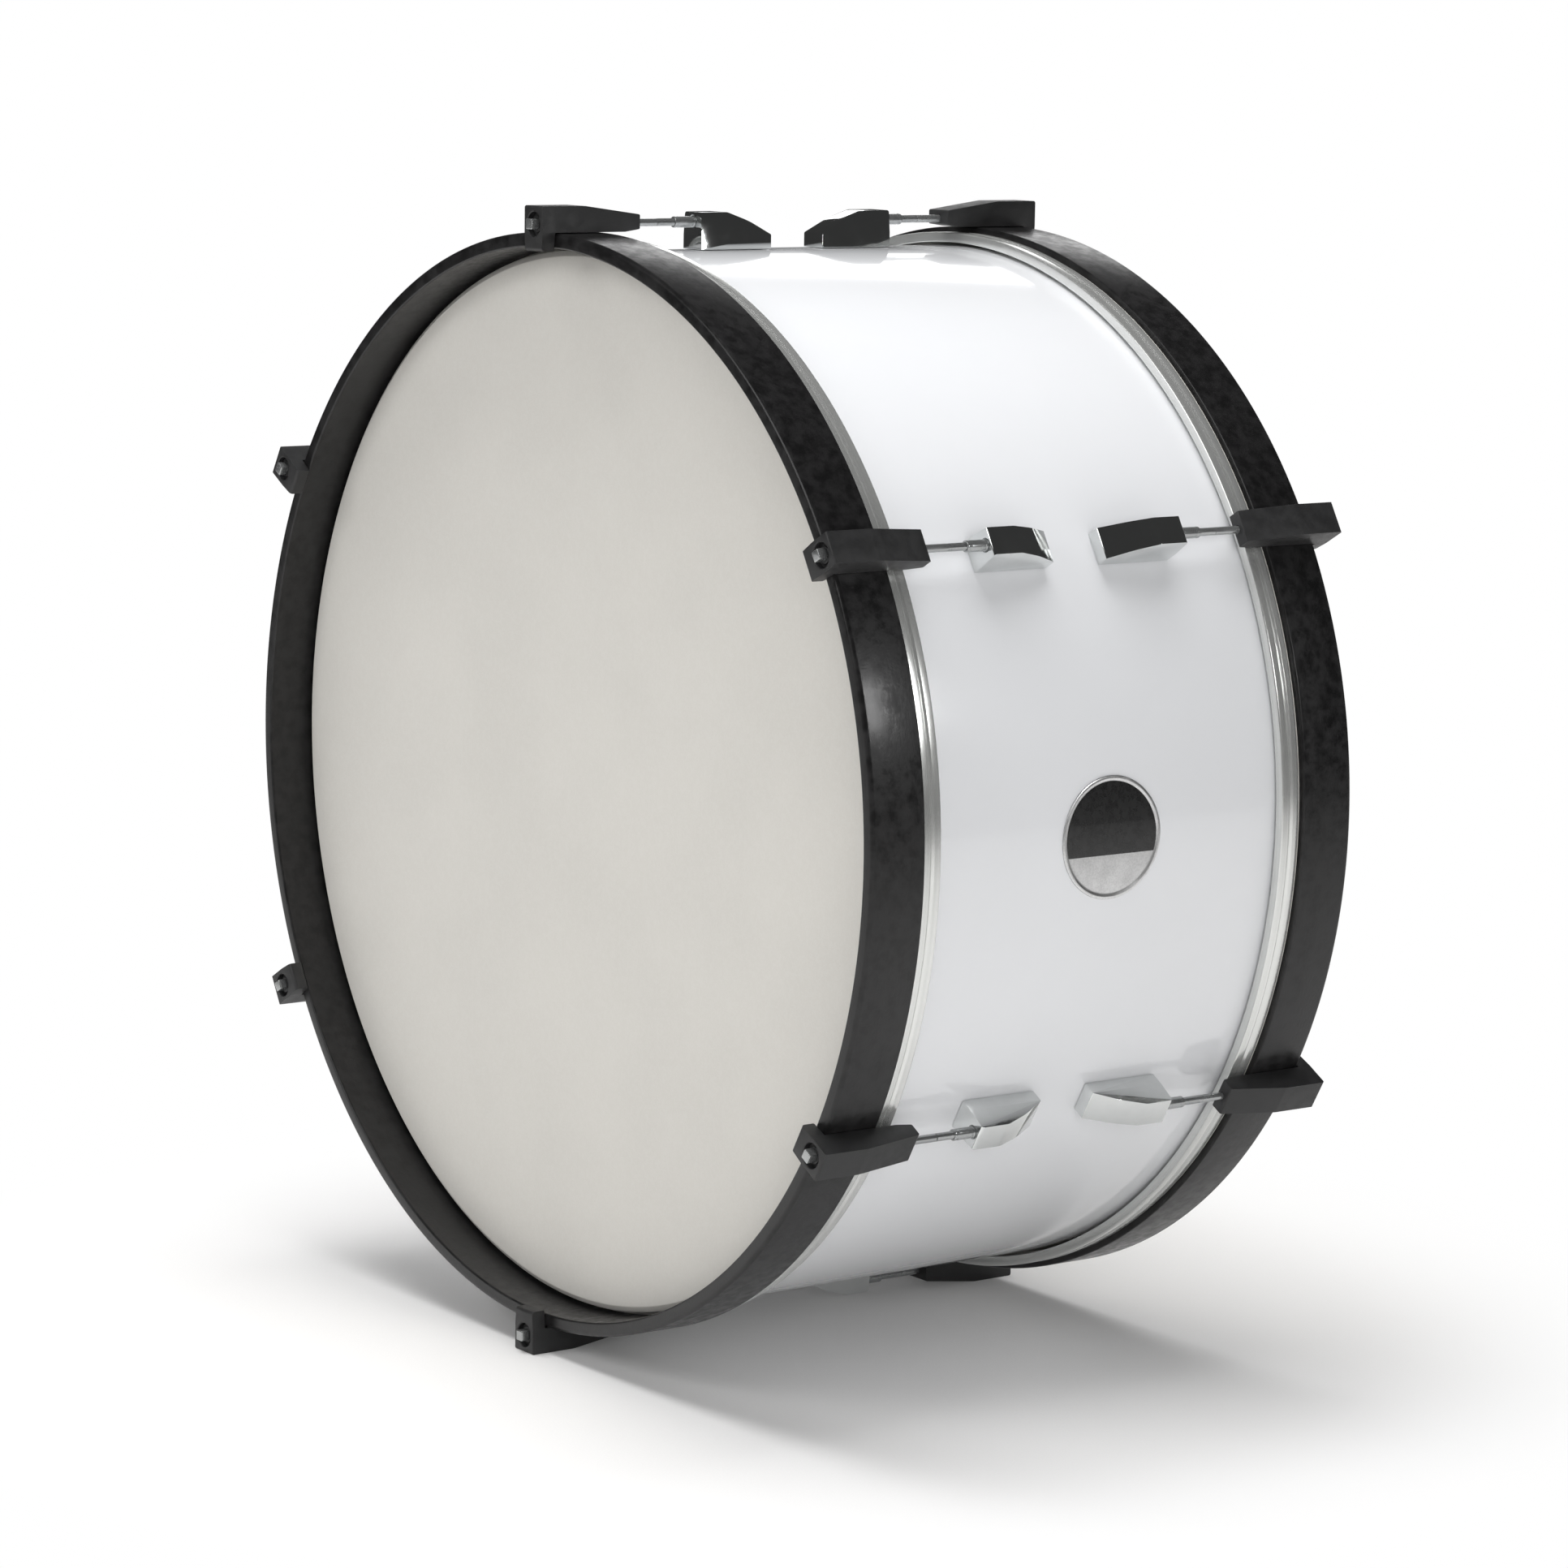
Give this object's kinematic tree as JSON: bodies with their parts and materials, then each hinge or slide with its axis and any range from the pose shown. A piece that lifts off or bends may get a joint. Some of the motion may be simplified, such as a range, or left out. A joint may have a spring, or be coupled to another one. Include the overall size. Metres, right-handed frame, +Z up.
{
  "type": "marching bass drum",
  "caption": "Marching bass drum: white wooden shell, two coated heads, black counter hoops, hooked claws, tension rods and chromed lugs.",
  "frame": {"origin": "on the floor, below the middle of the drum, under the two lowest claws that it stands on", "axes": "+Z up, Y along the drum's axis with the front head towards -Y, +X to the right as seen from the front, where the badge is"},
  "size_m": [0.684, 0.3894, 0.717],
  "materials": {
    "shell_white": "smooth white gloss covering over ply",
    "hoop_black": "black satin lacquer over wood",
    "hoop_alloy": "polished",
    "head_film": "coated film, matt warm white",
    "claw_black": "matt moulded",
    "rod_chrome": "bright chrome on steel",
    "lug_chrome": "bright chrome on a zinc casting",
    "badge_plate": "anodised aluminium plate, satin black over silver, blank"
  },
  "bodies": {
    "drum": {"shell": "shell_white", "badge": "badge_plate", "front_hoop": "hoop_black", "front_flesh_hoop": "hoop_alloy", "front_head": "head_film", "rear_hoop": "hoop_black", "rear_flesh_hoop": "hoop_alloy", "rear_head": "head_film", "front_lug_1": "lug_chrome", "front_lug_nut_1": "rod_chrome", "front_lug_2": "lug_chrome", "front_lug_nut_2": "rod_chrome", "front_lug_3": "lug_chrome", "front_lug_nut_3": "rod_chrome", "front_lug_4": "lug_chrome", "front_lug_nut_4": "rod_chrome", "front_lug_5": "lug_chrome", "front_lug_nut_5": "rod_chrome", "front_lug_6": "lug_chrome", "front_lug_nut_6": "rod_chrome", "rear_lug_1": "lug_chrome", "rear_lug_nut_1": "rod_chrome", "rear_lug_2": "lug_chrome", "rear_lug_nut_2": "rod_chrome", "rear_lug_3": "lug_chrome", "rear_lug_nut_3": "rod_chrome", "rear_lug_4": "lug_chrome", "rear_lug_nut_4": "rod_chrome", "rear_lug_5": "lug_chrome", "rear_lug_nut_5": "rod_chrome", "rear_lug_6": "lug_chrome", "rear_lug_nut_6": "rod_chrome"},
    "front_claw_1": {"front_claw_1": "claw_black"},
    "front_tension_rod_1": {"front_tension_rod_1": "rod_chrome"},
    "front_claw_2": {"front_claw_2": "claw_black"},
    "front_tension_rod_2": {"front_tension_rod_2": "rod_chrome"},
    "front_claw_3": {"front_claw_3": "claw_black"},
    "front_tension_rod_3": {"front_tension_rod_3": "rod_chrome"},
    "front_claw_4": {"front_claw_4": "claw_black"},
    "front_tension_rod_4": {"front_tension_rod_4": "rod_chrome"},
    "front_claw_5": {"front_claw_5": "claw_black"},
    "front_tension_rod_5": {"front_tension_rod_5": "rod_chrome"},
    "front_claw_6": {"front_claw_6": "claw_black"},
    "front_tension_rod_6": {"front_tension_rod_6": "rod_chrome"},
    "rear_claw_1": {"rear_claw_1": "claw_black"},
    "rear_tension_rod_1": {"rear_tension_rod_1": "rod_chrome"},
    "rear_claw_2": {"rear_claw_2": "claw_black"},
    "rear_tension_rod_2": {"rear_tension_rod_2": "rod_chrome"},
    "rear_claw_3": {"rear_claw_3": "claw_black"},
    "rear_tension_rod_3": {"rear_tension_rod_3": "rod_chrome"},
    "rear_claw_4": {"rear_claw_4": "claw_black"},
    "rear_tension_rod_4": {"rear_tension_rod_4": "rod_chrome"},
    "rear_claw_5": {"rear_claw_5": "claw_black"},
    "rear_tension_rod_5": {"rear_tension_rod_5": "rod_chrome"},
    "rear_claw_6": {"rear_claw_6": "claw_black"},
    "rear_tension_rod_6": {"rear_tension_rod_6": "rod_chrome"}
  },
  "joints": [
    {"name": "front_claw_slide_1", "type": "slide", "parent": "drum", "child": "front_claw_1", "axis": [0, -1, 0], "range_m": [0, 0.0192]},
    {"name": "front_rod_turn_1", "type": "hinge", "parent": "front_claw_1", "child": "front_tension_rod_1", "pos_m": [0, -0.187, 0.706], "axis": [0, -1, 0], "range_deg": [0, 8640]},
    {"name": "front_claw_slide_2", "type": "slide", "parent": "drum", "child": "front_claw_2", "axis": [0, -1, 0], "range_m": [0, 0.0192]},
    {"name": "front_rod_turn_2", "type": "hinge", "parent": "front_claw_2", "child": "front_tension_rod_2", "pos_m": [0.30094, -0.187, 0.53225], "axis": [0, -1, 0], "range_deg": [0, 8640]},
    {"name": "front_claw_slide_3", "type": "slide", "parent": "drum", "child": "front_claw_3", "axis": [0, -1, 0], "range_m": [0, 0.0192]},
    {"name": "front_rod_turn_3", "type": "hinge", "parent": "front_claw_3", "child": "front_tension_rod_3", "pos_m": [0.30094, -0.187, 0.18475], "axis": [0, -1, 0], "range_deg": [0, 8640]},
    {"name": "front_claw_slide_4", "type": "slide", "parent": "drum", "child": "front_claw_4", "axis": [0, -1, 0], "range_m": [0, 0.0192]},
    {"name": "front_rod_turn_4", "type": "hinge", "parent": "front_claw_4", "child": "front_tension_rod_4", "pos_m": [0, -0.187, 0.011], "axis": [0, -1, 0], "range_deg": [0, 8640]},
    {"name": "front_claw_slide_5", "type": "slide", "parent": "drum", "child": "front_claw_5", "axis": [0, -1, 0], "range_m": [0, 0.0192]},
    {"name": "front_rod_turn_5", "type": "hinge", "parent": "front_claw_5", "child": "front_tension_rod_5", "pos_m": [-0.30094, -0.187, 0.18475], "axis": [0, -1, 0], "range_deg": [0, 8640]},
    {"name": "front_claw_slide_6", "type": "slide", "parent": "drum", "child": "front_claw_6", "axis": [0, -1, 0], "range_m": [0, 0.0192]},
    {"name": "front_rod_turn_6", "type": "hinge", "parent": "front_claw_6", "child": "front_tension_rod_6", "pos_m": [-0.30094, -0.187, 0.53225], "axis": [0, -1, 0], "range_deg": [0, 8640]},
    {"name": "rear_claw_slide_1", "type": "slide", "parent": "drum", "child": "rear_claw_1", "axis": [0, 1, 0], "range_m": [0, 0.0192]},
    {"name": "rear_rod_turn_1", "type": "hinge", "parent": "rear_claw_1", "child": "rear_tension_rod_1", "pos_m": [0, 0.187, 0.706], "axis": [0, 1, 0], "range_deg": [0, 8640]},
    {"name": "rear_claw_slide_2", "type": "slide", "parent": "drum", "child": "rear_claw_2", "axis": [0, 1, 0], "range_m": [0, 0.0192]},
    {"name": "rear_rod_turn_2", "type": "hinge", "parent": "rear_claw_2", "child": "rear_tension_rod_2", "pos_m": [0.30094, 0.187, 0.53225], "axis": [0, 1, 0], "range_deg": [0, 8640]},
    {"name": "rear_claw_slide_3", "type": "slide", "parent": "drum", "child": "rear_claw_3", "axis": [0, 1, 0], "range_m": [0, 0.0192]},
    {"name": "rear_rod_turn_3", "type": "hinge", "parent": "rear_claw_3", "child": "rear_tension_rod_3", "pos_m": [0.30094, 0.187, 0.18475], "axis": [0, 1, 0], "range_deg": [0, 8640]},
    {"name": "rear_claw_slide_4", "type": "slide", "parent": "drum", "child": "rear_claw_4", "axis": [0, 1, 0], "range_m": [0, 0.0192]},
    {"name": "rear_rod_turn_4", "type": "hinge", "parent": "rear_claw_4", "child": "rear_tension_rod_4", "pos_m": [0, 0.187, 0.011], "axis": [0, 1, 0], "range_deg": [0, 8640]},
    {"name": "rear_claw_slide_5", "type": "slide", "parent": "drum", "child": "rear_claw_5", "axis": [0, 1, 0], "range_m": [0, 0.0192]},
    {"name": "rear_rod_turn_5", "type": "hinge", "parent": "rear_claw_5", "child": "rear_tension_rod_5", "pos_m": [-0.30094, 0.187, 0.18475], "axis": [0, 1, 0], "range_deg": [0, 8640]},
    {"name": "rear_claw_slide_6", "type": "slide", "parent": "drum", "child": "rear_claw_6", "axis": [0, 1, 0], "range_m": [0, 0.0192]},
    {"name": "rear_rod_turn_6", "type": "hinge", "parent": "rear_claw_6", "child": "rear_tension_rod_6", "pos_m": [-0.30094, 0.187, 0.53225], "axis": [0, 1, 0], "range_deg": [0, 8640]}
  ],
  "couplings": [
    {"joint": "front_rod_turn_1", "follows": "front_claw_slide_1", "rad_per_m": 7853.9},
    {"joint": "front_rod_turn_2", "follows": "front_claw_slide_2", "rad_per_m": 7853.9},
    {"joint": "front_rod_turn_3", "follows": "front_claw_slide_3", "rad_per_m": 7853.9},
    {"joint": "front_rod_turn_4", "follows": "front_claw_slide_4", "rad_per_m": 7853.9},
    {"joint": "front_rod_turn_5", "follows": "front_claw_slide_5", "rad_per_m": 7853.9},
    {"joint": "front_rod_turn_6", "follows": "front_claw_slide_6", "rad_per_m": 7853.9},
    {"joint": "rear_rod_turn_1", "follows": "rear_claw_slide_1", "rad_per_m": 7853.9},
    {"joint": "rear_rod_turn_2", "follows": "rear_claw_slide_2", "rad_per_m": 7853.9},
    {"joint": "rear_rod_turn_3", "follows": "rear_claw_slide_3", "rad_per_m": 7853.9},
    {"joint": "rear_rod_turn_4", "follows": "rear_claw_slide_4", "rad_per_m": 7853.9},
    {"joint": "rear_rod_turn_5", "follows": "rear_claw_slide_5", "rad_per_m": 7853.9},
    {"joint": "rear_rod_turn_6", "follows": "rear_claw_slide_6", "rad_per_m": 7853.9}
  ]
}
